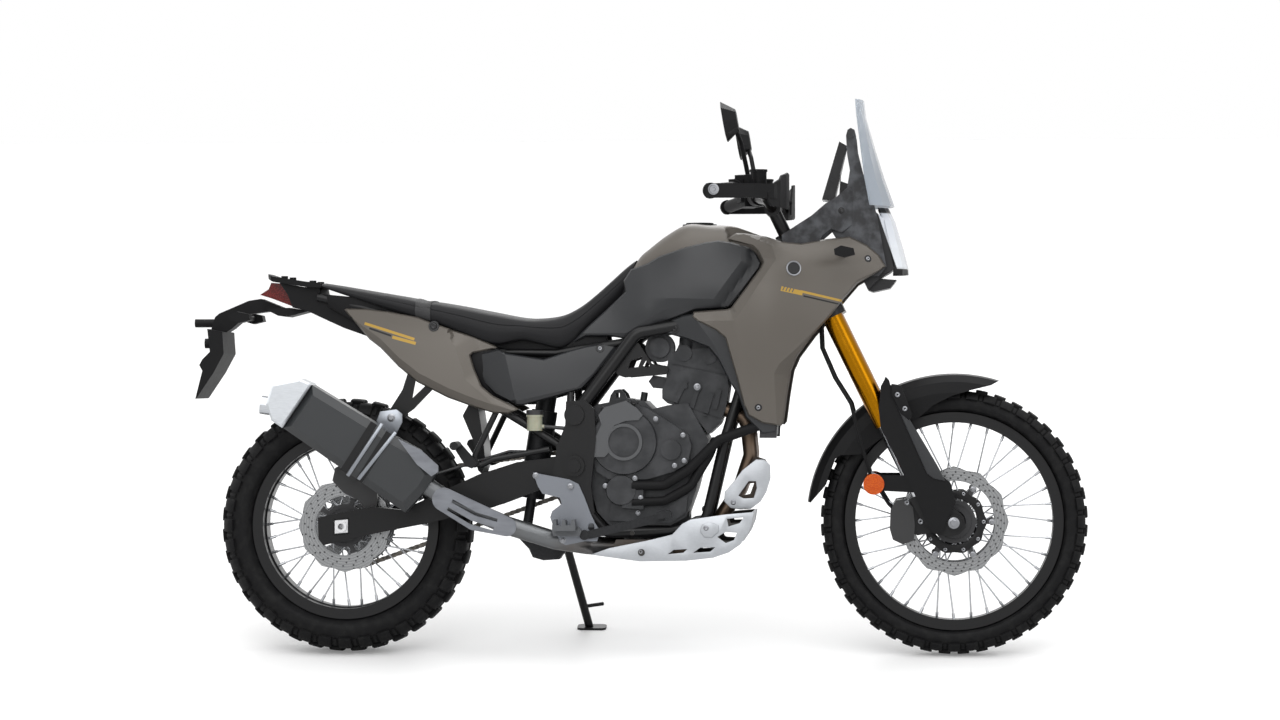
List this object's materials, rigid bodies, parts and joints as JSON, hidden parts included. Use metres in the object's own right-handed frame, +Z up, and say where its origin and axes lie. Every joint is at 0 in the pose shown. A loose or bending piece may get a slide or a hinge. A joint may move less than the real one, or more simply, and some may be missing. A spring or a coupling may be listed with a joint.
{
  "type": "motorcycle",
  "caption": "Adventure motorcycle with wire wheels, tall windscreen, hand guards, side silencer and skid plate, parked leaning on its side stand; steering, wheels and stand move.",
  "frame": {"origin": "on the ground, under the middle of the outer box of the parked machine", "axes": "+X forward along the machine, +Y to the rider's left, +Z up; the machine leans 10 degrees to its left onto the side stand"},
  "size_m": [2.351, 0.9687, 1.4694],
  "materials": {
    "tyre": "matt",
    "black_rim": "black anodised",
    "hub_spokes": "satin",
    "disc_steel": "brushed",
    "gold_fork": "gold anodised",
    "fork_chrome": "polished",
    "cast_black": "satin black",
    "caliper": "satin",
    "black_plastic": "grained",
    "gloss_black": "satin",
    "rubber": "matt",
    "frame_black": "satin",
    "engine_grey": "satin",
    "cover_grey": "satin",
    "header_steel": "heat tinted",
    "silver": "brushed",
    "alloy": "satin",
    "olive_paint": "satin olive",
    "seat_cover": "grained vinyl",
    "clear_screen": "clear",
    "lamp_glass": "clear",
    "red_lens": "gloss",
    "orange_lens": "gloss",
    "screen_black": "gloss"
  },
  "bodies": {
    "chassis": {"main_frame": "frame_black", "rear_subframe": "frame_black", "crankcase": "engine_grey", "cylinder_head": "engine_grey", "engine_covers": "cover_grey", "radiator": "frame_black", "coolant_hoses": "rubber", "exhaust_pipes": "header_steel", "silencer": "silver", "silencer_cap": "alloy", "exhaust_shields": "silver", "skid_plate": "alloy", "swingarm": "cast_black", "rear_axle": "alloy", "rear_shock": "cast_black", "rear_brake": "caliper", "drive_chain": "disc_steel", "fuel_tank": "olive_paint", "fuel_cap": "gloss_black", "seat": "seat_cover", "tank_covers": "gloss_black", "front_cowl": "olive_paint", "lower_shrouds": "black_plastic", "tail_panels": "olive_paint", "side_covers": "black_plastic", "screen_stay": "black_plastic", "windscreen": "clear_screen", "headlamp": "black_plastic", "lamp_cover": "lamp_glass", "dash_display": "screen_black", "tail_cowl": "black_plastic", "tail_lamp": "red_lens", "indicators": "orange_lens", "footrests": "alloy", "foot_controls": "cast_black", "pillion_footrests": "cast_black"},
    "steering": {"fork_yokes": "cast_black", "fork_outer_tubes": "gold_fork", "fork_inner_tubes": "fork_chrome", "fork_feet": "cast_black", "front_calipers": "caliper", "fork_guards": "black_plastic", "fork_reflectors": "orange_lens", "front_fender": "black_plastic", "bar_grips": "rubber", "hand_controls": "gloss_black", "hand_guards": "black_plastic", "mirrors": "gloss_black", "brake_hoses": "rubber"},
    "front_wheel": {"front_tyre": "tyre", "front_rim": "black_rim", "front_hub": "hub_spokes", "front_discs": "disc_steel"},
    "rear_wheel": {"rear_tyre": "tyre", "rear_rim": "black_rim", "rear_hub": "hub_spokes", "rear_disc": "disc_steel", "rear_sprocket": "disc_steel"},
    "side_stand": {"side_stand": "cast_black"}
  },
  "joints": [
    {"name": "steering", "type": "hinge", "parent": "chassis", "child": "steering", "pos_m": [0.48513, -0.07571, 0.88061], "axis": [-0.4384, 0.1561, 0.8851], "range_deg": [-38, 38]},
    {"name": "front_wheel_spin", "type": "hinge", "parent": "steering", "child": "front_wheel", "pos_m": [0.8286, -0.17027, 0.34434], "axis": [0, 0.9848, -0.1736], "continuous": true},
    {"name": "rear_wheel_spin", "type": "hinge", "parent": "chassis", "child": "rear_wheel", "pos_m": [-0.7664, -0.17279, 0.33006], "axis": [0, 0.9848, -0.1736], "continuous": true},
    {"name": "side_stand_fold", "type": "hinge", "parent": "chassis", "child": "side_stand", "pos_m": [-0.2064, -0.05452, 0.27519], "axis": [0.164, 0.9273, 0.3364], "range_deg": [0, 101]}
  ]
}
